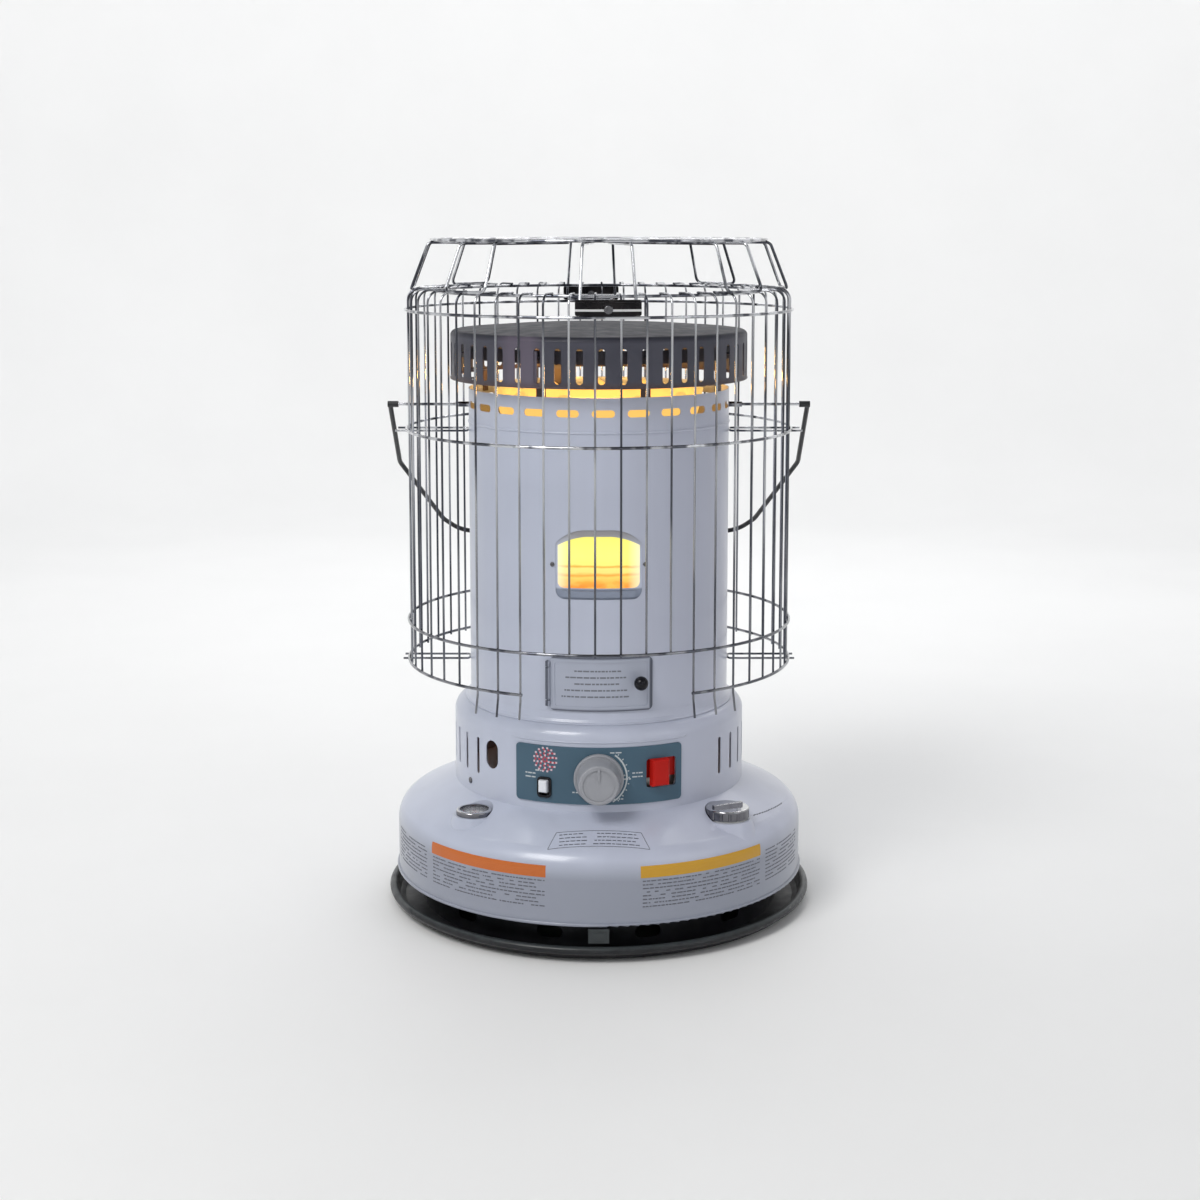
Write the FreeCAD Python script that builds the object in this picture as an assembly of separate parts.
import FreeCAD, Part
import math
import os

# Portable round kerosene heater with a wick burner, in millimetres.
# Origin: centre of the underside of the drip tray. +Z is up, the front faces -Y.
# Angles round the heater are in degrees from the front, growing towards +X.

# ---- driving dimensions ----
TRAY_R = 220.0
TRAY_LIP_R = 4.0
TRAY_LIP_Z = 12.0
SHEET = 1.0

TANK_R = 210.0
TANK_FLOOR_Z = 36.0
TANK_TOP_Z = 128.0
TANK_WALL_TOP_Z = 85.0
TANK_BEND_R = 24.0
TANK_SLOPE_DEG = 24.7
BOSS_BOTTOM_Z = 95.0
BOSS_DRAFT_DEG = 20.0
BASE_RING_R = 185.0

GAUGE_DEG = -46.2
GAUGE_AT_R = 171.5
GAUGE_R = 18.0
GAUGE_BOSS_Z = 117.5
GAUGE_CUP_R = 13.4
GAUGE_DIAL_R = 13.0
GAUGE_LENS_R = 14.6
FLOAT_Z = 71.0
FLOAT_ARM = 68.0
FLOAT_PIN_R = 1.1
CAP_DEG = 46.3
CAP_AT_R = 176.7
CAP_R = 21.5
CAP_BOSS_Z = 114.5
CAP_TOP_Z = 126.0
NECK_R = 17.5
NECK_TOP_Z = 119.5
SEAL_T = 2.0

CABINET_R = 150.0
CABINET_TOP_Z = 212.0
PANEL_Z = (136.0, 193.0)
PANEL_HALF_DEG = 32.5
PANEL_T = 1.5
KNOB_Z = 163.0
KNOB_R = 24.5
KNOB_FRONT_R = 19.5
KNOB_BACK_Y = -152.3
KNOB_FRONT_Y = -180.0
SHAFT_R = 4.0
RUNNING_GAP = 0.05

IGNITER_DEG = 24.0
IGNITER_OPENING = (32.0, 29.0)
IGNITER_Z = 165.5
SHUTOFF_DEG = -20.5
SHUTOFF_OPENING = (12.4, 18.2)
SHUTOFF_Z = 151.5

PINION_PITCH_R = 9.5
PINION_TEETH = 12
PINION_Y = (-61.5, -59.0)

DRAFT_R = 49.2
WICK_R = (49.6, 53.1)
WICK_Z = (80.0, 201.5)
HOLDER_R = (53.1, 54.3)
GUIDE_R = (54.7, 56.0)
GUIDE_TOP_Z = 195.0
FLAME_TUBE_R = 73.0
FLAME_TUBE_TOP_Z = 470.0
INNER_TUBE_R = 42.0

DRUM_R = 133.5
DRUM_TOP_Z = 533.0
DRUM_T = 0.8
DRUM_BEAD_Z = 498.7
WINDOW_W = 84.0
WINDOW_Z = (336.0, 404.5)
PANE_W = 80.0
PANE_Z = (347.0, 398.0)
DOOR_Z = (225.0, 278.5)
DOOR_DEG = (-21.0, 23.0)
DOOR_KNOB_X = 41.4
DOOR_KNOB_Z = 254.8

CROWN_R = 151.6
CROWN_Z = (543.0, 586.6)
CROWN_TOP_R = 144.7
CROWN_TOP_Z = 592.0
CROWN_APEX_Z = 599.0
CROWN_SLOTS = 45
STRAP_T = 1.2

GUARD_R = 194.5
WIRE_R = 1.1
RING_R = 197.0
RING_WIRE_R = 1.5
WIRE_PITCH_DEG = 7.2
GAP_CENTRE_DEG = 2.6
GAP_WIRES = 6
RING_Z = (612.8, 491.6, 294.5, 253.4)
GUARD_TOP_Z = 634.0
GUARD_INNER_R = 166.0
FOOT_Z = 229.0
TOP_GRILLE_Z = 683.0
TOP_GRILLE_R = 170.0
LOOP_COUNT = 8

PIVOT_Z = 515.0
BAIL_HALF_W = 214.5
BAIL_BAR_HALF_W = 174.0
BAIL_REACH = 269.0
BAIL_REST_DEG = 38.0
BAIL_WIRE_R = 2.5
BAIL_BEND = 34.0
PIVOT_ROD_R = 1.5


# ---- helpers ----
def vec(x, y, z):
    return FreeCAD.Vector(x, y, z)


def polar(radius, deg, z):
    angle = math.radians(deg)
    return vec(radius * math.sin(angle), -radius * math.cos(angle), z)


def turned(shape, deg):
    copy = shape.copy()
    copy.rotate(vec(0, 0, 0), vec(0, 0, 1), deg)
    return copy


def moved(shape, x=0.0, y=0.0, z=0.0):
    copy = shape.copy()
    copy.translate(vec(x, y, z))
    return copy


def box(x0, x1, y0, y1, z0, z1):
    return Part.makeBox(x1 - x0, y1 - y0, z1 - z0, vec(x0, y0, z0))


def rod(start, end, radius):
    axis = end - start
    return Part.makeCylinder(radius, axis.Length, start, axis)


def disc(radius, z0, z1, x=0.0, y=0.0):
    return Part.makeCylinder(radius, z1 - z0, vec(x, y, z0))


def tube(inner, outer, z0, z1, x=0.0, y=0.0):
    return disc(outer, z0, z1, x, y).cut(disc(inner, z0 - 1, z1 + 1, x, y))


def edge_line(a, b):
    return Part.makeLine(vec(a[0], 0, a[1]), vec(b[0], 0, b[1]))


def edge_arc(a, mid, b):
    return Part.Arc(vec(a[0], 0, a[1]), vec(mid[0], 0, mid[1]), vec(b[0], 0, b[1])).toShape()


def lathe_edges(edges, sweep=360.0):
    face = Part.Face(Part.Wire(edges))
    return face.revolve(vec(0, 0, 0), vec(0, 0, 1), sweep)


def lathe(points, sweep=360.0):
    """Turn a closed outline of (radius, height) points about the heater's axis."""
    closed = points + [points[0]]
    edges = [edge_line(a, b) for a, b in zip(closed[:-1], closed[1:])]
    return lathe_edges(edges, sweep)


def curved_plate(r_in, r_out, deg_span, z_span, corner=0.0):
    """A piece of a cylinder wall between two angles, with its four corners rounded."""
    plate = lathe([(r_in, z_span[0]), (r_out, z_span[0]), (r_out, z_span[1]), (r_in, z_span[1])],
                  deg_span[1] - deg_span[0])
    plate.rotate(vec(0, 0, 0), vec(0, 0, 1), deg_span[0] - 90.0)
    if corner > 0:
        radial = [e for e in plate.Edges if e.Curve.TypeId == "Part::GeomLine"
                  and abs(e.Length - (r_out - r_in)) < 0.01]
        plate = plate.makeFillet(corner, radial)
    return plate


def window_cutter(width, height, corner, z, x=0.0, y0=-240.0, y1=0.0):
    """A prism along Y with a rounded rectangle as its section, centred on x and z."""
    prism = box(x - width / 2, x + width / 2, y0, y1, z - height / 2, z + height / 2)
    along = [e for e in prism.Edges if abs(e.Length - (y1 - y0)) < 0.01]
    return prism.makeFillet(corner, along)


def ring_wire(radius, z, wire_r, start_deg=0.0, sweep=360.0):
    ring = Part.makeTorus(radius, wire_r, vec(0, 0, z), vec(0, 0, 1), -180, 180, sweep)
    return turned(ring, start_deg - 90.0)


def rounded_path(points, bend):
    """Straight runs through the points, joined by tangent arcs of one radius."""
    edges = []
    last = points[0]
    for before, corner, after in zip(points[:-2], points[1:-1], points[2:]):
        inward = (before - corner).normalize()
        outward = (after - corner).normalize()
        half_turn = (math.pi - inward.getAngle(outward)) / 2
        setback = bend * math.tan(half_turn)
        first = corner + inward * setback
        second = corner + outward * setback
        bisector = (inward + outward).normalize()
        middle = corner + bisector * (bend / math.cos(half_turn) - bend)
        edges.append(Part.makeLine(last, first))
        edges.append(Part.Arc(first, middle, second).toShape())
        last = second
    edges.append(Part.makeLine(last, points[-1]))
    return Part.Wire(edges)


def bent_wire(points, bend, radius):
    path = rounded_path(points, bend)
    section = Part.Wire([Part.makeCircle(radius, points[0], points[1] - points[0])])
    return path.makePipeShell([section], True, False)


def fused(shapes):
    return shapes[0].multiFuse(shapes[1:]).removeSplitter() if len(shapes) > 1 else shapes[0]


def export(name, shapes):
    """Write one node; a list becomes a group of separate solids."""
    shape = Part.makeCompound(shapes) if isinstance(shapes, list) else shapes
    shape.exportStep(os.path.join("parts", name + ".step"))


# ---- drip tray, clips and base ring ----
def drip_tray():
    lip_centre = TRAY_R - TRAY_LIP_R
    pan = lathe([(0, 0), (204, 0), (210, 2.5), (214.6, 10), (213.6, 10.6), (209, 3.6),
                 (203.6, 1.2), (0, 1.2)])
    return pan.fuse(Part.makeTorus(lip_centre, TRAY_LIP_R, vec(0, 0, TRAY_LIP_Z)))


def tray_clips():
    tab = box(-10, 10, -213.4, -212.2, 18.6, 32.6)
    raised = box(-6, 6, -214.2, -213.4, 22, 29)
    leg = box(-10, 10, -212.2, -BASE_RING_R + 0.2, 31.4, 32.6)
    clip = fused([tab, raised, leg]).cut(disc(BASE_RING_R, 20, 40))
    return [turned(clip, deg) for deg in (0, 120, 240)]


def tank_base_ring():
    wall = tube(BASE_RING_R - 1.5, BASE_RING_R, 1.2, TANK_FLOOR_Z)
    foot = tube(BASE_RING_R - 12, BASE_RING_R, 1.2, 2.6)
    ring = wall.fuse(foot)
    for k in range(12):
        ring = ring.cut(turned(window_cutter(26, 12, 5.9, 18), 30 * k + 15))
    return ring


# ---- fuel tank ----
def tank_outline(inset):
    """Closed profile of the tank, shrunk by an inset from its outer skin."""
    slope = math.radians(TANK_SLOPE_DEG)
    bend_r = TANK_BEND_R - inset
    centre_r = TANK_R - TANK_BEND_R

    def on_bend(angle):
        return (centre_r + bend_r * math.cos(angle), TANK_WALL_TOP_Z + bend_r * math.sin(angle))

    top = TANK_TOP_Z - inset
    wall = TANK_R - inset
    shoulder = on_bend(math.pi / 2 - slope)
    crest = (shoulder[0] - (top - shoulder[1]) / math.tan(slope), top)
    low = TANK_FLOOR_Z - (0 if inset == 0 else 5)
    return [edge_line((0, low), (wall, low)),
            edge_line((wall, low), on_bend(0)),
            edge_arc(on_bend(0), on_bend(math.pi / 4 - slope / 2), shoulder),
            edge_line(shoulder, crest),
            edge_line(crest, (0, top)),
            edge_line((0, top), (0, low))]


def boss(at, top_z, top_r):
    """A drafted boss that stands out of the tank's sloping top."""
    height = top_z - BOSS_BOTTOM_Z
    spread = height * math.tan(math.radians(BOSS_DRAFT_DEG))
    return Part.makeCone(top_r + spread, top_r, height, vec(at.x, at.y, BOSS_BOTTOM_Z))


def tank_shell():
    """Pressed shell with two bosses that are let into the slope, for the gauge and the cap."""
    gauge = polar(GAUGE_AT_R, GAUGE_DEG, 0)
    cap = polar(CAP_AT_R, CAP_DEG, 0)
    seats = ((gauge, GAUGE_BOSS_Z, GAUGE_R), (cap, CAP_BOSS_Z, CAP_R))
    outside = fused([lathe_edges(tank_outline(0))]
                    + [boss(at, z, radius + 2.5) for at, z, radius in seats])
    inside = fused([lathe_edges(tank_outline(SHEET))]
                   + [boss(at, z - SHEET, radius + 2.5 - SHEET) for at, z, radius in seats])
    for at, z, radius in seats:
        outside = outside.cut(disc(radius + 0.8, z, z + 30, at.x, at.y))
        inside = inside.cut(disc(radius + 0.8 + SHEET, z - SHEET, z + 30, at.x, at.y))
    shell = outside.cut(inside)
    shell = shell.cut(disc(GAUGE_CUP_R, 80, 130, gauge.x, gauge.y))
    shell = shell.cut(disc(NECK_R, 80, 130, cap.x, cap.y))
    shell = shell.cut(disc(GUIDE_R[1], 100, 140))
    bead = Part.makeTorus(TANK_R + 0.2, 1.8, vec(0, 0, TANK_FLOOR_Z - 0.6))
    return shell.fuse(bead)


def tank_bottom():
    pan = lathe([(DRAFT_R, TANK_FLOOR_Z), (TANK_R - 2.0, TANK_FLOOR_Z), (TANK_R - 2.0, 42),
                 (TANK_R - 1.0, 42), (TANK_R - 1.0, 44), (TANK_R - 3.0, 44),
                 (TANK_R - 3.0, TANK_FLOOR_Z + SHEET), (DRAFT_R, TANK_FLOOR_Z + SHEET)])
    return pan


def filler_neck():
    cap = polar(CAP_AT_R, CAP_DEG, 0)
    pipe = tube(NECK_R - 1.5, NECK_R, 98, NECK_TOP_Z, cap.x, cap.y)
    flange = tube(NECK_R - 1.5, 20.5, CAP_BOSS_Z, CAP_BOSS_Z + 1.2, cap.x, cap.y)
    return pipe.fuse(flange)


def cap_gasket():
    cap = polar(CAP_AT_R, CAP_DEG, 0)
    return tube(13, NECK_R - 0.1, NECK_TOP_Z, NECK_TOP_Z + SEAL_T, cap.x, cap.y)


def fuel_cap():
    cap = polar(CAP_AT_R, CAP_DEG, 0)
    rim_z = CAP_BOSS_Z + 1.6
    body = Part.makeCylinder(CAP_R, CAP_TOP_Z - rim_z, vec(0, 0, rim_z))
    body = body.makeFillet(1.8, [body.Edges[0]])
    body = body.cut(disc(NECK_R + 0.4, 100, NECK_TOP_Z + SEAL_T + 0.4))
    for k in range(16):
        body = body.cut(disc(1.5, CAP_BOSS_Z, CAP_TOP_Z - 2.5, CAP_R + 0.6, 0))
        body = turned(body, 360 / 16)
    grip = box(-16, 16, -2.2, 2.2, CAP_TOP_Z, CAP_TOP_Z + 3.2)
    grip = grip.makeFillet(1.0, [e for e in grip.Edges if e.CenterOfMass.z > CAP_TOP_Z + 3])
    return moved(turned(body.fuse(grip), 25), cap.x, cap.y)


# ---- fuel gauge ----
def gauge_housing():
    at = polar(GAUGE_AT_R, GAUGE_DEG, 0)
    seat = GAUGE_BOSS_Z
    bezel = Part.makeCylinder(GAUGE_R, 5, vec(at.x, at.y, seat))
    bezel = bezel.makeFillet(1.6, [bezel.Edges[0]])
    bezel = bezel.cut(disc(GAUGE_LENS_R, seat + 2.8, seat + 9, at.x, at.y))
    bezel = bezel.cut(disc(GAUGE_DIAL_R, seat - 1, seat + 9, at.x, at.y))
    cup = disc(GAUGE_CUP_R, seat - 4, seat + 1, at.x, at.y)
    cup = cup.cut(disc(GAUGE_DIAL_R, seat - 2.8, seat + 2, at.x, at.y))
    stem = disc(2.5, FLOAT_Z + 5, seat - 4, at.x, at.y)
    fork = disc(4.5, FLOAT_Z - 3, FLOAT_Z + 6, at.x, at.y)
    slot = box(-1.9, 1.9, -GAUGE_AT_R - 6, -GAUGE_AT_R + 6, FLOAT_Z - 5, FLOAT_Z + 4.2)
    bore = rod(vec(-6, -GAUGE_AT_R, FLOAT_Z), vec(6, -GAUGE_AT_R, FLOAT_Z), FLOAT_PIN_R)
    housing = fused([bezel, cup, stem, fork])
    return housing.cut(turned(slot, GAUGE_DEG)).cut(turned(bore, GAUGE_DEG))


def gauge_dial():
    at = polar(GAUGE_AT_R, GAUGE_DEG, 0)
    face = disc(GAUGE_DIAL_R, GAUGE_BOSS_Z - 2.8, GAUGE_BOSS_Z - 1.0, at.x, at.y)
    pin = disc(0.8, GAUGE_BOSS_Z - 1.0, GAUGE_BOSS_Z + 1.6, at.x, at.y)
    return face.fuse(pin)


def gauge_needle():
    hub = tube(0.8 + RUNNING_GAP, 2.0, GAUGE_BOSS_Z - 0.5, GAUGE_BOSS_Z + 0.8)
    blade = box(-0.6, 0.6, -10.5, -1.6, GAUGE_BOSS_Z - 0.2, GAUGE_BOSS_Z + 0.3)
    at = polar(GAUGE_AT_R, GAUGE_DEG, 0)
    return moved(turned(hub.fuse(blade), 35), at.x, at.y)


def gauge_lens():
    at = polar(GAUGE_AT_R, GAUGE_DEG, 0)
    return disc(GAUGE_LENS_R, GAUGE_BOSS_Z + 2.8, GAUGE_BOSS_Z + 4.2, at.x, at.y)


def float_arm():
    start = -GAUGE_AT_R
    pin = rod(vec(-4.4, start, FLOAT_Z), vec(4.4, start, FLOAT_Z), FLOAT_PIN_R - RUNNING_GAP)
    hub = rod(vec(-1.5, start, FLOAT_Z), vec(1.5, start, FLOAT_Z), 3.0)
    arm = rod(vec(0, start, FLOAT_Z), vec(0, start + FLOAT_ARM - 2, FLOAT_Z), 1.0)
    cork = box(-14, 14, start + FLOAT_ARM - 11, start + FLOAT_ARM + 11, FLOAT_Z - 7, FLOAT_Z + 7)
    cork = cork.makeFillet(3, cork.Edges)
    return turned(fused([pin, hub, arm, cork]), GAUGE_DEG)


# ---- wick burner ----
def draft_tube():
    pipe = tube(DRAFT_R - 1.2, DRAFT_R, 30, GUIDE_TOP_Z + 1)
    return pipe.fuse(tube(DRAFT_R - 0.1, DRAFT_R + 8, 33.8, TANK_FLOOR_Z))


def burner_base():
    guide = tube(GUIDE_R[0], GUIDE_R[1], 60, GUIDE_TOP_Z)
    flange = tube(GUIDE_R[0], 88, TANK_TOP_Z, TANK_TOP_Z + 2.5)
    gallery = tube(GUIDE_R[0], 79, GUIDE_TOP_Z - 1.5, GUIDE_TOP_Z)
    base = fused([guide, flange, gallery])
    rack_slot = box(-16.5, -8.8, -66, -44, TANK_TOP_Z + 2.5, 188)
    base = base.cut(rack_slot)
    for k in range(24):
        base = base.cut(turned(disc(2.5, 190, 200, 0, -66), 15 * k + 7.5))
    return base


def burner_wing_nuts():
    nut = fused([disc(5, TANK_TOP_Z + 2.5, TANK_TOP_Z + 8, 0, -80),
                 box(-12, 12, -81, -79, TANK_TOP_Z + 4, TANK_TOP_Z + 14)])
    nut = nut.cut(box(-5, 5, -90, -70, TANK_TOP_Z + 9, TANK_TOP_Z + 20))
    return [turned(nut, deg) for deg in (50, 140, 220, 310)]


def wick():
    return tube(WICK_R[0], WICK_R[1], WICK_Z[0], WICK_Z[1])


def rack_teeth(x_pitch, z0, count):
    """Straight teeth that point towards +X, with their tips past the pitch line."""
    pitch = 2 * math.pi * PINION_PITCH_R / PINION_TEETH
    teeth = []
    for k in range(count):
        z = z0 + k * pitch
        outline = [vec(x_pitch - 1.7, 0, z - 1.6), vec(x_pitch + 1.1, 0, z - 0.55),
                   vec(x_pitch + 1.1, 0, z + 0.55), vec(x_pitch - 1.7, 0, z + 1.6)]
        face = Part.Face(Part.makePolygon(outline + outline[:1]))
        tooth = face.extrude(vec(0, PINION_Y[1] - PINION_Y[0], 0))
        teeth.append(moved(tooth, y=PINION_Y[0]))
    return teeth


def wick_holder():
    pitch = 2 * math.pi * PINION_PITCH_R / PINION_TEETH
    sleeve = tube(HOLDER_R[0], HOLDER_R[1], 110, 158)
    strip = box(-15, -11, PINION_Y[0], PINION_Y[1], 150, 186)
    leg = box(-15, -11, PINION_Y[1] - 0.1, -52.6, 150, 158)
    first = KNOB_Z - 2 * pitch
    teeth = rack_teeth(-PINION_PITCH_R, first, 7)
    holder = fused([sleeve, strip, leg] + teeth)
    return holder.cut(disc(HOLDER_R[0], 100, 170))


def adjuster_shaft():
    stem = rod(vec(0, -172, KNOB_Z), vec(0, PINION_Y[1], KNOB_Z), SHAFT_R)
    root = rod(vec(0, PINION_Y[0], KNOB_Z), vec(0, PINION_Y[1], KNOB_Z), PINION_PITCH_R - 1.6)
    pieces = [stem, root]
    for k in range(PINION_TEETH):
        outline = [vec(PINION_PITCH_R - 2.4, 0, -1.5), vec(PINION_PITCH_R + 1.1, 0, -0.5),
                   vec(PINION_PITCH_R + 1.1, 0, 0.5), vec(PINION_PITCH_R - 2.4, 0, 1.5)]
        face = Part.Face(Part.makePolygon(outline + outline[:1]))
        tooth = face.extrude(vec(0, PINION_Y[1] - PINION_Y[0], 0))
        tooth = moved(tooth, y=PINION_Y[0], z=KNOB_Z)
        tooth.rotate(vec(0, 0, KNOB_Z), vec(0, 1, 0), (k + 0.5) * 360 / PINION_TEETH)
        pieces.append(tooth)
    return fused(pieces)


def adjuster_housing():
    block = box(-13, 13, -78, -66, TANK_TOP_Z + 2.5, 176)
    block = block.makeFillet(3, [e for e in block.Edges if e.CenterOfMass.z > 175])
    return block.cut(rod(vec(0, -90, KNOB_Z), vec(0, -50, KNOB_Z), SHAFT_R + RUNNING_GAP))


def control_knob():
    flange = Part.makeCylinder(KNOB_R, 4.6, vec(0, KNOB_BACK_Y, KNOB_Z), vec(0, -1, 0))
    flange = flange.makeFillet(1.5, [flange.Edges[0]])
    length = KNOB_BACK_Y - KNOB_FRONT_Y
    grip = Part.makeCone(22.2, KNOB_FRONT_R, length, vec(0, KNOB_BACK_Y, KNOB_Z), vec(0, -1, 0))
    grip = grip.makeFillet(2.0, [e for e in grip.Edges if e.CenterOfMass.y < KNOB_FRONT_Y + 1
                                 and e.Curve.TypeId == "Part::GeomCircle"])
    lean = math.degrees(math.atan2(22.2 - KNOB_FRONT_R, length))
    for k in range(36):
        groove = rod(vec(23.0, KNOB_BACK_Y - 6, KNOB_Z), vec(20.3, KNOB_FRONT_Y - 4, KNOB_Z), 1.0)
        groove.rotate(vec(0, 0, KNOB_Z), vec(0, 1, 0), 10 * k)
        grip = grip.cut(groove)
    recess = Part.makeCylinder(KNOB_FRONT_R - 4, 1.2, vec(0, KNOB_FRONT_Y - 0.1, KNOB_Z),
                               vec(0, 1, 0))
    pointer = box(-1.2, 1.2, KNOB_FRONT_Y - 0.5, KNOB_FRONT_Y + 3, KNOB_Z + 4, KNOB_Z + 17)
    bore = rod(vec(0, -172, KNOB_Z), vec(0, -140, KNOB_Z), SHAFT_R)
    return fused([flange, grip.cut(recess), pointer]).cut(bore)


def outer_flame_tube():
    z0 = GUIDE_TOP_Z + 0.4
    body = tube(FLAME_TUBE_R - 0.8, FLAME_TUBE_R, z0, FLAME_TUBE_TOP_Z)
    foot = tube(FLAME_TUBE_R - 5, FLAME_TUBE_R, z0, z0 + 1)
    body = body.fuse(foot)
    holes = []
    for row in range(12):
        for k in range(20):
            hole = rod(vec(0, -76, 230 + 19 * row), vec(0, -69, 230 + 19 * row), 2.6)
            holes.append(turned(hole, 18 * k + 9 * (row % 2)))
    holes.append(turned(box(-9, 9, -90, -50, z0 - 1, 213), IGNITER_DEG))
    return body.cut(Part.makeCompound(holes))


def inner_flame_tube():
    z0 = GUIDE_TOP_Z + 1.5
    body = tube(INNER_TUBE_R - 0.8, INNER_TUBE_R, z0, 440)
    collar = tube(INNER_TUBE_R - 0.8, DRAFT_R - 1.6, z0 + 0.2, z0 + 1.4)
    holes = []
    for row in range(9):
        for k in range(12):
            hole = rod(vec(0, -45, 240 + 20 * row), vec(0, -38, 240 + 20 * row), 2.4)
            holes.append(turned(hole, 30 * k + 15 * (row % 2)))
    for k in range(3):
        pin = rod(vec(0, -FLAME_TUBE_R + 0.8, 222), vec(0, -INNER_TUBE_R + 0.4, 222), 1.5)
        collar = collar.fuse(turned(pin, 120 * k + 60))
    return body.cut(Part.makeCompound(holes)).fuse(collar)


def flame_spreader():
    plate = lathe([(0, 440), (66, 440), (66, 442), (60, 446), (0, 446)])
    stays = []
    for k in range(4):
        stays.append(turned(rod(vec(0, -FLAME_TUBE_R + 0.4, 443), vec(0, -60, 443), 1.6), 90 * k))
    return fused([plate] + stays)


def burner_knob():
    stem = rod(vec(0, -FLAME_TUBE_R + 0.3, 250), vec(0, -92, 250), 2.0)
    ball = Part.makeSphere(7, vec(0, -96, 250))
    return stem.fuse(ball)


# ---- cabinet ----
def panel_openings():
    igniter = window_cutter(IGNITER_OPENING[0], IGNITER_OPENING[1], 3, IGNITER_Z, 0, -160, -140)
    igniter = turned(igniter, IGNITER_DEG)
    shutoff = window_cutter(SHUTOFF_OPENING[0], SHUTOFF_OPENING[1], 3, SHUTOFF_Z, 0, -160, -140)
    shutoff = turned(shutoff, SHUTOFF_DEG)
    shaft = rod(vec(0, -160, KNOB_Z), vec(0, -140, KNOB_Z), 6)
    return [igniter, shutoff, shaft]


def cabinet_skirt():
    outer = CABINET_R
    inner = CABINET_R - SHEET
    top = CABINET_TOP_Z
    edges = [edge_line((outer, TANK_TOP_Z), (outer, 199)),
             edge_arc((outer, 199), (146.2, 208.2), (137, top)),
             edge_line((137, top), (DRUM_R - 3.5, top)),
             edge_line((DRUM_R - 3.5, top), (DRUM_R - 3.5, top - SHEET)),
             edge_line((DRUM_R - 3.5, top - SHEET), (137, top - SHEET)),
             edge_arc((137, top - SHEET), (145.5, 207.5), (inner, 199)),
             edge_line((inner, 199), (inner, TANK_TOP_Z)),
             edge_line((inner, TANK_TOP_Z), (outer, TANK_TOP_Z))]
    skirt = lathe_edges(edges)
    cuts = panel_openings()
    cuts.append(turned(window_cutter(17.6, 28.6, 8.7, 174, 0, -160, -140), -45.3))
    for k in range(13):
        for side in (-1, 1):
            slit = window_cutter(4.6, 37.5, 2.2, 168.7, 0, -156, -144)
            cuts.append(turned(slit, side * (54 + 9 * k)))
    cuts.append(turned(window_cutter(68, 58, 3, 166, 0, -160, -130), 180))
    return skirt.cut(Part.makeCompound(cuts))


def control_panel():
    plate = curved_plate(CABINET_R, CABINET_R + PANEL_T,
                         (-PANEL_HALF_DEG, PANEL_HALF_DEG), PANEL_Z, 4)
    return plate.cut(Part.makeCompound(panel_openings()))


def igniter_lever():
    """A push-down lever: a tall nose in front of the panel, on a neck through its window."""
    nose = box(-13, 5.5, -159.5, -140, 153.5, 180)
    nose = nose.makeFillet(2.5, [e for e in nose.Edges if e.CenterOfMass.y < -159])
    nose = nose.cut(disc(CABINET_R + PANEL_T + 0.7, 120, 200))
    neck = box(-11, 4, -154, -144.4, 166.5, 179)
    plate = box(-18, 18, -146.4, -144.4, 160, 186)
    stem = box(-4, 4, -144.4, -134, 168, 176)
    return turned(fused([nose, neck, plate, stem]), IGNITER_DEG)


def inner_brackets():
    """The three posts on the tank top behind the panel and beside the burner."""
    return [igniter_bracket(), shutoff_guide(), tip_over_bracket()]


def igniter_bracket():
    back = box(-18, 18, -140.5, -139.0, TANK_TOP_Z, 192)
    back = back.cut(box(-4.4, 4.4, -145, -130, 150, 178))
    foot = box(-18, 18, -139.0, -92, TANK_TOP_Z, TANK_TOP_Z + 1.5)
    post = box(-5, 5, -106, -98, TANK_TOP_Z, 209)
    bore = rod(vec(0, -120, 203), vec(0, -80, 203), 2.0 + RUNNING_GAP)
    return turned(fused([back, foot, post]).cut(bore), IGNITER_DEG)


def igniter_arm():
    stem = rod(vec(0, -126, 203), vec(0, -82.5, 203), 2.0)
    coils = [Part.makeTorus(3.0, 0.5, vec(0, -77.2 - 0.9 * k, 203), vec(0, 1, 0))
             for k in range(4)]
    carrier = rod(vec(0, -83.5, 203), vec(0, -80.0, 203), 3.4)
    return turned(fused([stem, carrier] + coils), IGNITER_DEG)


def shutoff_bezel():
    width, height = SHUTOFF_OPENING
    frame = window_cutter(width, height, 3, SHUTOFF_Z, 0, -153.4, -148.2)
    lip = window_cutter(width + 2.4, height + 2.4, 4, SHUTOFF_Z, 0, -153.4, -151.6)
    hole = window_cutter(width - 2, height - 2, 2, SHUTOFF_Z, 0, -160, -140)
    return turned(frame.fuse(lip).cut(hole), SHUTOFF_DEG)


def shutoff_lever():
    tab = box(-4.4, 4.4, -158.0, -140, 147.2, 159.0)
    tab = tab.makeFillet(1.5, [e for e in tab.Edges if e.CenterOfMass.y < -157.5])
    arm = box(-4.4, 4.4, -140.2, -138, 147.2, 182)
    return turned(tab.fuse(arm), SHUTOFF_DEG)


def shutoff_guide():
    channel = box(-7.4, 7.4, -142.6, -135, TANK_TOP_Z, 178)
    channel = channel.cut(box(-4.9, 4.9, -150, -137.6, 142, 190))
    return turned(channel, SHUTOFF_DEG)


def tip_over_bracket():
    post = box(-9, 9, -118, -116, TANK_TOP_Z, 198)
    foot = box(-9, 9, -118, -104, TANK_TOP_Z, TANK_TOP_Z + 2)
    pin = rod(vec(0, -116.5, 192), vec(0, -97, 192), 1.5)
    return turned(fused([post, foot, pin]), 128)


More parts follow.
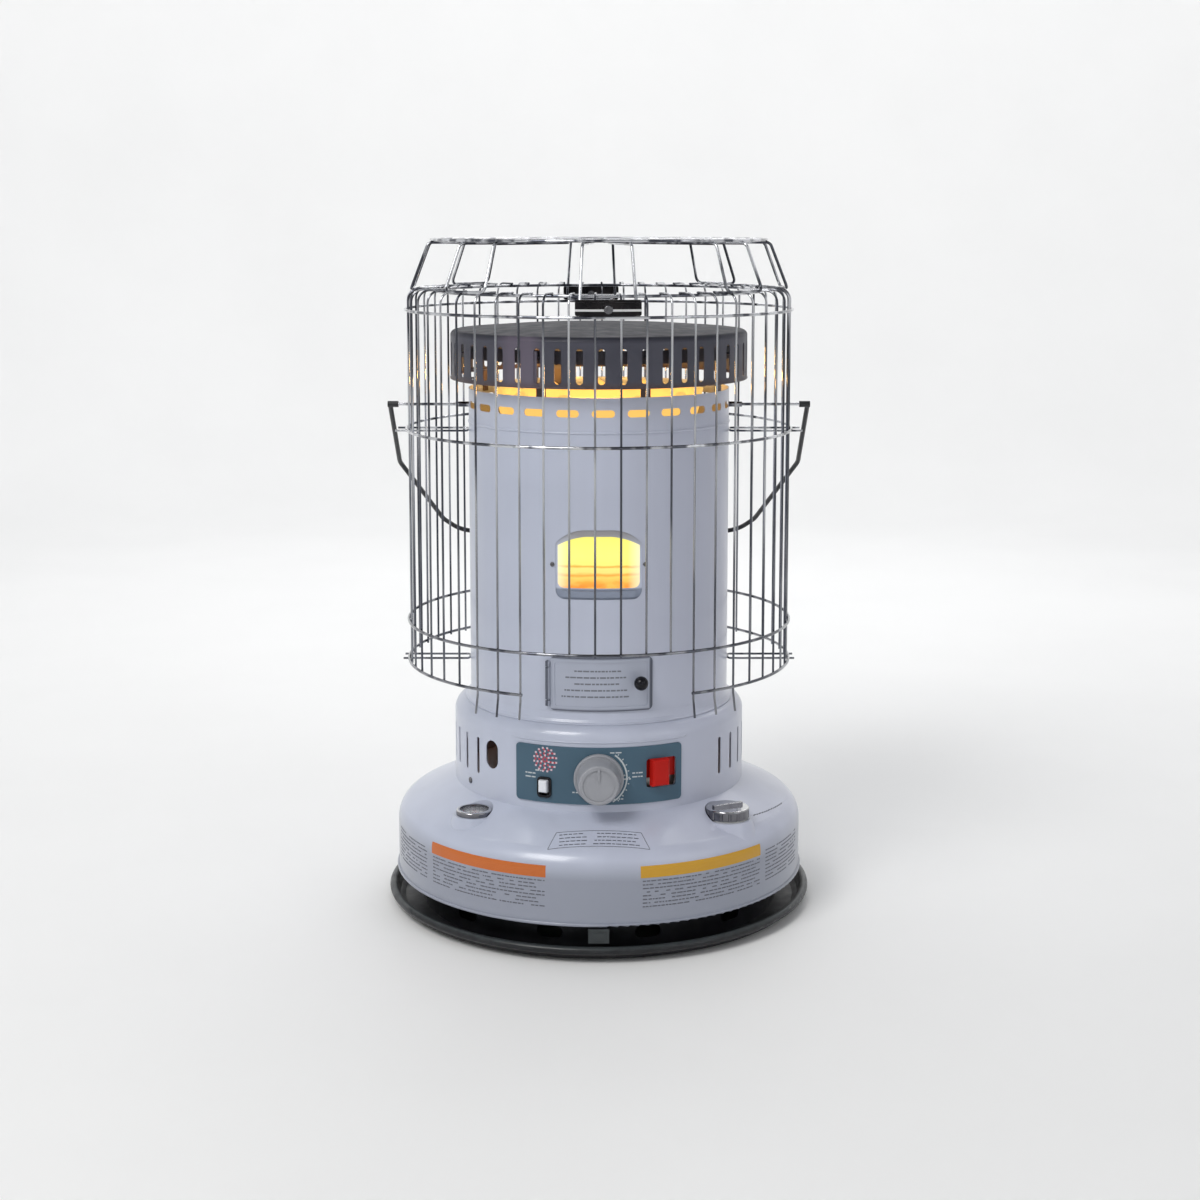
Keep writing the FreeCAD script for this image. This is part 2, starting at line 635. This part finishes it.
def tip_over_weight():
    eye = rod(vec(0, -104, 192), vec(0, -100, 192), 4.5)
    stem = rod(vec(0, -102, 189), vec(0, -102, 164), 1.8)
    bob = Part.makeCylinder(11.5, 25, vec(0, -102, 140))
    bob = bob.makeFillet(2, [e for e in bob.Edges if e.Curve.TypeId == "Part::GeomCircle"])
    bore = rod(vec(0, -120, 192), vec(0, -90, 192), 1.5 + RUNNING_GAP)
    return turned(fused([eye, stem, bob]).cut(bore), 128)


def battery_case():
    shell = box(-35, 35, 103, 143.5, TANK_TOP_Z, 202)
    hollow = box(-33.5, 33.5, 104.5, 150, TANK_TOP_Z + 2, 200.5)
    return shell.cut(hollow).common(disc(CABINET_R - SHEET, 120, 210))


def batteries():
    cells = []
    for z in (148.0, 182.8):
        cell = rod(vec(-30, 123, z), vec(28, 123, z), 16.8)
        cells.append(cell.fuse(rod(vec(28, 123, z), vec(31, 123, z), 4.5)))
    return cells


def battery_cover():
    plate = curved_plate(CABINET_R + 0.3, CABINET_R + 1.8, (-15.0, 15.0), (134, 198), 3)
    lip = curved_plate(CABINET_R + 1.8, CABINET_R + 4, (11.0, 13.5), (156, 176), 0)
    barrel = Part.makeCylinder(2.6, 40, polar(CABINET_R + 2.7, -15.5, 146))
    pin_bore = Part.makeCylinder(1.2 + RUNNING_GAP, 44, polar(CABINET_R + 2.7, -15.5, 144))
    cover = fused([plate, lip, barrel]).cut(disc(CABINET_R + 0.3, 120, 210)).cut(pin_bore)
    hinge = polar(CABINET_R + 2.7, -15.5, 0)
    for z0, z1 in ((130, 145.8), (186.2, 200)):
        cover = cover.cut(disc(3.0, z0, z1, hinge.x, hinge.y))
    return turned(cover, 180)


def battery_hinge():
    centre = polar(CABINET_R + 2.7, -15.5, 0)
    pin = disc(1.2, 141, 191, centre.x, centre.y)
    ears = [disc(2.6, z, z + 4.5, centre.x, centre.y) for z in (141, 186.5)]
    hinge = fused([pin] + ears)
    return turned(hinge.cut(disc(CABINET_R, 100, 210)), 180)


# ---- drum and window ----
def drum_shell():
    body = tube(DRUM_R - DRUM_T, DRUM_R, CABINET_TOP_Z, DRUM_TOP_Z)
    body = body.fuse(Part.makeTorus(DRUM_R - 0.3, 1.3, vec(0, 0, DRUM_BEAD_Z)))
    body = body.cut(disc(DRUM_R - DRUM_T, 200, 560))
    slot = window_cutter(22.4, 7.2, 3.5, 517.5, 0, -138, -126)
    cuts = [turned(slot, 15 * k + 1.9) for k in range(24)]
    cuts.append(window_opening(WINDOW_W, WINDOW_Z, 9, 30))
    cuts.append(window_cutter(84, 42, 4, 251.5, 2, -140, -110))
    return body.cut(Part.makeCompound(cuts))


def window_opening(width, z_span, low_corner, rise):
    """Opening with rounded lower corners and a low arched head."""
    half = width / 2
    bottom, top = z_span
    spring = top - rise * 0.45
    edges = [edge_line((-half + low_corner, bottom), (half - low_corner, bottom)),
             edge_arc((half - low_corner, bottom),
                      (half - low_corner * 0.29, bottom + low_corner * 0.29),
                      (half, bottom + low_corner)),
             edge_line((half, bottom + low_corner), (half, spring)),
             edge_arc((half, spring), (half * 0.62, top - 2.4), (half * 0.3, top)),
             edge_line((half * 0.3, top), (-half * 0.3, top)),
             edge_arc((-half * 0.3, top), (-half * 0.62, top - 2.4), (-half, spring)),
             edge_line((-half, spring), (-half, bottom + low_corner)),
             edge_arc((-half, bottom + low_corner),
                      (-half + low_corner * 0.29, bottom + low_corner * 0.29),
                      (-half + low_corner, bottom))]
    prism = Part.Face(Part.Wire(edges)).extrude(vec(0, 160, 0))
    return moved(prism, y=-200)


def window_frame():
    outer = DRUM_R - DRUM_T
    plate = curved_plate(outer - 1.2, outer, (-23.5, 23.5), (328, 413), 5)
    sill = curved_plate(outer, DRUM_R + 1.6, (-15.5, 15.5), (338.5, 344.5), 0)
    opening = window_opening(PANE_W, PANE_Z, 6, 20)
    return plate.fuse(sill).cut(opening)


def window_pane():
    outer = DRUM_R - DRUM_T - 1.2
    return curved_plate(outer - 1.5, outer, (-20.5, 20.5), (341, 404), 3)


def window_screws():
    screws = []
    for side in (-1, 1):
        head = Part.makeCylinder(2.2, 1.4, vec(0, -DRUM_R, 370), vec(0, -1, 0))
        head = head.makeFillet(0.6, [e for e in head.Edges if e.CenterOfMass.y < -DRUM_R - 1.3
                                     and e.Curve.TypeId == "Part::GeomCircle"])
        head = head.cut(box(-3, 3, -DRUM_R - 2, -DRUM_R - 0.8, 369.6, 370.4))
        screws.append(turned(head, side * 19.8))
    return screws


def door_hinge_centre():
    return polar(DRUM_R + 3.0, DOOR_DEG[0] - 0.6, 0)


def access_door():
    centre = door_hinge_centre()
    plate = curved_plate(DRUM_R + 0.4, DRUM_R + 1.6, DOOR_DEG, DOOR_Z, 5)
    rim = curved_plate(DRUM_R + 1.6, DRUM_R + 2.3, (DOOR_DEG[0] + 1.5, DOOR_DEG[1] - 1.2),
                       (DOOR_Z[0] + 2.5, DOOR_Z[1] - 2.5), 4)
    middle = curved_plate(DRUM_R + 1.5, DRUM_R + 3, (DOOR_DEG[0] + 2.4, DOOR_DEG[1] - 2.1),
                          (DOOR_Z[0] + 4.6, DOOR_Z[1] - 4.6), 3)
    barrel = disc(2.3, 236, 268, centre.x, centre.y)
    door = fused([plate, rim.cut(middle), barrel])
    for z0, z1 in ((220, 235.2), (268.8, 285)):
        door = door.cut(disc(2.7, z0, z1, centre.x, centre.y))
    door = door.cut(disc(1.0 + RUNNING_GAP, 200, 300, centre.x, centre.y))
    door = door.cut(disc(DRUM_R + 0.4, 200, 300))
    stud = rod(vec(DOOR_KNOB_X, -100, DOOR_KNOB_Z), vec(DOOR_KNOB_X, -150, DOOR_KNOB_Z), 2.0)
    return door.cut(stud)


def door_hinge_pin():
    centre = door_hinge_centre()
    pin = disc(1.0, 229, 275, centre.x, centre.y)
    ears = [disc(2.3, z, z + 5, centre.x, centre.y) for z in (229.5, 269)]
    webs = [turned(box(-0.8, 0.8, -DRUM_R - 3, -DRUM_R + 0.1, z, z + 5), DOOR_DEG[0] - 0.6)
            for z in (229.5, 269)]
    return fused([pin] + ears + webs).cut(disc(DRUM_R, 200, 300))


def door_knob():
    y = -math.sqrt(DRUM_R ** 2 - DOOR_KNOB_X ** 2)
    stem = rod(vec(DOOR_KNOB_X, y - 0.3, DOOR_KNOB_Z), vec(DOOR_KNOB_X, y - 12, DOOR_KNOB_Z), 2.0)
    ball = Part.makeSphere(7, vec(DOOR_KNOB_X, y - 14, DOOR_KNOB_Z))
    return stem.fuse(ball).cut(disc(DRUM_R + 0.4, 200, 300))


# ---- crown ----
def crown_skirt():
    body = tube(CROWN_R - 0.8, CROWN_R, CROWN_Z[0], CROWN_Z[1])
    slots = []
    for k in range(CROWN_SLOTS):
        slot = window_cutter(6.8, 34, 3.3, 564, 0, -156, -146)
        slots.append(turned(slot, k * 360 / CROWN_SLOTS + 1.05))
    hem = Part.makeTorus(CROWN_R - 0.4, 1.0, vec(0, 0, CROWN_Z[0] + 0.6))
    return body.cut(Part.makeCompound(slots)).fuse(hem)


def crown_top():
    """A pressed lid: a shallow dome on a sphere, a rounded shoulder and a flange inside the skirt."""
    low = CROWN_Z[1]
    rise = CROWN_APEX_Z - CROWN_TOP_Z
    dome_r = (CROWN_TOP_R ** 2 + rise ** 2) / (2 * rise)
    sheet = 0.8

    def dome(radius, inset):
        return (radius, CROWN_APEX_Z - dome_r + math.sqrt((dome_r - inset) ** 2 - radius ** 2))

    outer_end = dome(CROWN_TOP_R, 0)
    inner_end = dome(CROWN_TOP_R - 0.3, sheet)
    flange_out = CROWN_R - sheet
    flange_in = CROWN_R - 2 * sheet
    edges = [edge_line((CROWN_R, low), (CROWN_R, low + 1)),
             edge_arc((CROWN_R, low + 1), (149.6, low + 4.4), outer_end),
             edge_arc(outer_end, dome(CROWN_TOP_R / 2, 0), dome(0, 0)),
             edge_line(dome(0, 0), dome(0, sheet)),
             edge_arc(dome(0, sheet), dome(CROWN_TOP_R / 2, sheet), inner_end),
             edge_arc(inner_end, (148.6, low + 3.6), (flange_in, low + 0.6)),
             edge_line((flange_in, low + 0.6), (flange_in, low - 4)),
             edge_line((flange_in, low - 4), (flange_out, low - 4)),
             edge_line((flange_out, low - 4), (flange_out, low)),
             edge_line((flange_out, low), (CROWN_R, low))]
    return lathe_edges(edges)


def crown_brackets():
    """Eight straps that stand inside the drum's rim and carry the crown, with a stay ring."""
    rim = DRUM_R - DRUM_T
    low = tube(rim - STRAP_T, rim, 524, 546).common(box(-5, 5, -rim, -rim + 4, 524, 546))
    shelf = box(-5, 5, -CROWN_R + 1.6, -rim + 1, 545, 545 + STRAP_T)
    high = box(-5, 5, -CROWN_R + 0.5, -CROWN_R + 2.2, 545, 578)
    stay = box(-5, 5, -CROWN_R + 1.6, -140.5, 571, 571 + STRAP_T)
    strap = fused([low, shelf, high, stay]).common(disc(CROWN_R - 0.8, 500, 600))
    straps = [turned(strap, 20 + 45 * k) for k in range(8)]
    return fused(straps + [tube(140, 141, 565.5, 578.5)])


# ---- guard ----
def wire_degs():
    """Angles of the full wires, starting at the right edge of the front gap."""
    count = round(360 / WIRE_PITCH_DEG) - GAP_WIRES
    first = GAP_CENTRE_DEG + WIRE_PITCH_DEG * (GAP_WIRES + 1) / 2
    return [first + WIRE_PITCH_DEG * k for k in range(count)]


def guard_wire(deg, bottom, foot):
    points = [vec(0, -GUARD_R, bottom), vec(0, -GUARD_R, GUARD_TOP_Z),
              vec(0, -GUARD_INNER_R + 2, GUARD_TOP_Z)]
    if foot:
        points = [vec(0, -GUARD_R - 3, FOOT_Z), vec(0, -GUARD_R, FOOT_Z + 18)] + points[1:]
    return turned(bent_wire(points, 12, WIRE_R), deg)


def guard_wires():
    degs = wire_degs()
    last = len(degs) - 1
    wires = []
    for k, deg in enumerate(degs):
        beside_gap = k < 3 or k > last - 3
        wires.append(guard_wire(deg, RING_Z[3] - 2.2, beside_gap))
    return wires


def guard_gap_wires():
    first = GAP_CENTRE_DEG - WIRE_PITCH_DEG * (GAP_WIRES - 1) / 2
    return [guard_wire(first + WIRE_PITCH_DEG * k, RING_Z[2] - 2.2, False)
            for k in range(GAP_WIRES)]


def guard_ring(index):
    if index < 3:
        return ring_wire(RING_R, RING_Z[index], RING_WIRE_R)
    half_gap = WIRE_PITCH_DEG * (GAP_WIRES + 1) / 2 - 0.8
    return ring_wire(RING_R, RING_Z[index], RING_WIRE_R, GAP_CENTRE_DEG + half_gap,
                     360 - 2 * half_gap)


def guard_upper_rings():
    inner = ring_wire(GUARD_INNER_R, GUARD_TOP_Z - WIRE_R - RING_WIRE_R + 0.1, RING_WIRE_R)
    return [guard_ring(0), inner]


def guard_standoffs():
    pins = []
    for side in (-1, 1):
        for z, half_w, reach in ((RING_Z[1] - 2.5, 15, 208), (RING_Z[3] - 2.5, 10.5, 203)):
            near = DRUM_R + WIRE_R - 0.1
            points = [vec(side * reach, -half_w, z), vec(side * near, -half_w, z),
                      vec(side * near, half_w, z), vec(side * reach, half_w, z)]
            pins.append(bent_wire(points, 4, WIRE_R))
    return pins


def guard_clamps():
    half = 9.0
    z_span = (RING_Z[0] + 1.6, RING_Z[0] + 16.6)
    plates = []
    for deg in (GAP_CENTRE_DEG, GAP_CENTRE_DEG + 180):
        outer = curved_plate(GUARD_R + WIRE_R - 0.1, GUARD_R + WIRE_R + 2, (-half, half), z_span, 2)
        rib = curved_plate(GUARD_R + WIRE_R + 1.9, GUARD_R + WIRE_R + 3.2, (-half + 0.8, half - 0.8),
                           (z_span[0] + 10.8, z_span[0] + 12.6), 0)
        bore = rod(vec(0, -150, z_span[0] + 6), vec(0, -230, z_span[0] + 6), 2.0)
        plates.append(turned(outer.fuse(rib).cut(bore), deg))
    return plates


def clamp_screws():
    screws = []
    z = RING_Z[0] + 7.6
    for deg in (GAP_CENTRE_DEG, GAP_CENTRE_DEG + 180):
        shank = rod(vec(0, -GUARD_R + 6, z), vec(0, -GUARD_R - 3.1, z), 2.0)
        head = rod(vec(0, -GUARD_R - 3.1, z), vec(0, -GUARD_R - 6.0, z), 4.2)
        head = head.makeFillet(1.2, [e for e in head.Edges if e.CenterOfMass.y < -GUARD_R - 5.9
                                     and e.Curve.TypeId == "Part::GeomCircle"])
        slot = box(-5, 5, -GUARD_R - 7, -GUARD_R - 5.0, z - 0.5, z + 0.5)
        nut = rod(vec(0, -GUARD_R + 3.4, z), vec(0, -GUARD_R + 6.5, z), 4.0)
        screws.append(turned(fused([shank, head, nut]).cut(slot), deg))
    return screws


def top_guard_rings():
    return [ring_wire(radius, TOP_GRILLE_Z, RING_WIRE_R)
            for radius in (TOP_GRILLE_R, 148, 126, 104, 82, 60)]


def top_guard_loop(clamped):
    spoke_z = TOP_GRILLE_Z - 2 * RING_WIRE_R + 0.2
    foot_r, foot_z = (GUARD_R - WIRE_R - RING_WIRE_R + 0.1, 614.4) if clamped else (189.5, 634.4)
    half = []
    for side in (-1, 1):
        half.append([vec(side * 8, -54, spoke_z), vec(side * 23, -TOP_GRILLE_R - 2, spoke_z),
                     vec(side * 27, -foot_r, foot_z)])
    points = half[0] + half[1][::-1]
    return bent_wire(points, 6, RING_WIRE_R)


def top_guard_loops():
    loops = []
    for k in range(LOOP_COUNT):
        clamped = k in (0, LOOP_COUNT // 2)
        loops.append(turned(top_guard_loop(clamped), GAP_CENTRE_DEG + 360 / LOOP_COUNT * k))
    return loops


# ---- carrying handle ----
def handle_pivots():
    pivots = []
    for side in (-1, 1):
        boss = rod(vec(side * (DRUM_R - 0.4), 0, PIVOT_Z), vec(side * 147, 0, PIVOT_Z), 2.75)
        boss = boss.cut(disc(DRUM_R - DRUM_T, 490, 540))
        pin = rod(vec(side * 140, 0, PIVOT_Z), vec(side * (BAIL_HALF_W + 1.5), 0, PIVOT_Z),
                  PIVOT_ROD_R)
        pivots.append(boss.fuse(pin))
    return pivots


def bail_handle():
    angle = math.radians(BAIL_REST_DEG)

    def at(x, reach):
        return vec(x, reach * math.cos(angle), PIVOT_Z - reach * math.sin(angle))

    right = [at(BAIL_HALF_W, 0), at(BAIL_HALF_W, 115), at(BAIL_BAR_HALF_W + 2, 240),
             at(BAIL_BAR_HALF_W - 18, BAIL_REACH)]
    left = [vec(-p.x, p.y, p.z) for p in right]
    bow = bent_wire(right + left[::-1], BAIL_BEND, BAIL_WIRE_R)
    eyes = []
    for side in (-1, 1):
        start = vec(side * 206, 0, PIVOT_Z)
        end = vec(side * (BAIL_HALF_W + 2.4), 0, PIVOT_Z)
        eyes.append(rod(start, end, 3.2))
    bores = [rod(vec(-230, 0, PIVOT_Z), vec(-190, 0, PIVOT_Z), PIVOT_ROD_R + RUNNING_GAP),
             rod(vec(190, 0, PIVOT_Z), vec(230, 0, PIVOT_Z), PIVOT_ROD_R + RUNNING_GAP)]
    return fused([bow] + eyes).cut(bores[0]).cut(bores[1])


NODES = {
    "drip_tray": drip_tray, "tray_clips": tray_clips, "tank_base_ring": tank_base_ring,
    "tank_shell": tank_shell, "tank_bottom": tank_bottom, "filler_neck": filler_neck,
    "cap_gasket": cap_gasket, "fuel_cap": fuel_cap, "gauge_housing": gauge_housing,
    "gauge_dial": gauge_dial, "gauge_needle": gauge_needle, "gauge_lens": gauge_lens,
    "float_arm": float_arm, "draft_tube": draft_tube, "burner_base": burner_base,
    "burner_wing_nuts": burner_wing_nuts, "wick": wick, "wick_holder": wick_holder,
    "adjuster_shaft": adjuster_shaft, "adjuster_housing": adjuster_housing,
    "control_knob": control_knob, "outer_flame_tube": outer_flame_tube,
    "inner_flame_tube": inner_flame_tube, "flame_spreader": flame_spreader,
    "burner_knob": burner_knob,
    "cabinet_skirt": cabinet_skirt, "control_panel": control_panel,
    "igniter_lever": igniter_lever, "inner_brackets": inner_brackets,
    "igniter_arm": igniter_arm, "shutoff_bezel": shutoff_bezel, "shutoff_lever": shutoff_lever,
    "tip_over_weight": tip_over_weight, "battery_case": battery_case, "batteries": batteries,
    "battery_cover": battery_cover, "battery_hinge": battery_hinge, "drum_shell": drum_shell,
    "window_frame": window_frame, "window_pane": window_pane, "window_screws": window_screws,
    "access_door": access_door, "door_hinge_pin": door_hinge_pin, "door_knob": door_knob,
    "crown_skirt": crown_skirt, "crown_top": crown_top, "crown_brackets": crown_brackets,
    "guard_wires": guard_wires, "guard_gap_wires": guard_gap_wires,
    "guard_upper_rings": guard_upper_rings, "guard_standoffs": guard_standoffs,
    "guard_clamps": guard_clamps, "clamp_screws": clamp_screws,
    "top_guard_rings": top_guard_rings, "top_guard_loops": top_guard_loops,
    "handle_pivots": handle_pivots, "bail_handle": bail_handle,
}

os.makedirs("parts", exist_ok=True)
for node_name, make_node in NODES.items():
    export(node_name, make_node())
for ring_index in range(1, len(RING_Z)):
    export("guard_ring_%d" % (ring_index + 1), guard_ring(ring_index))
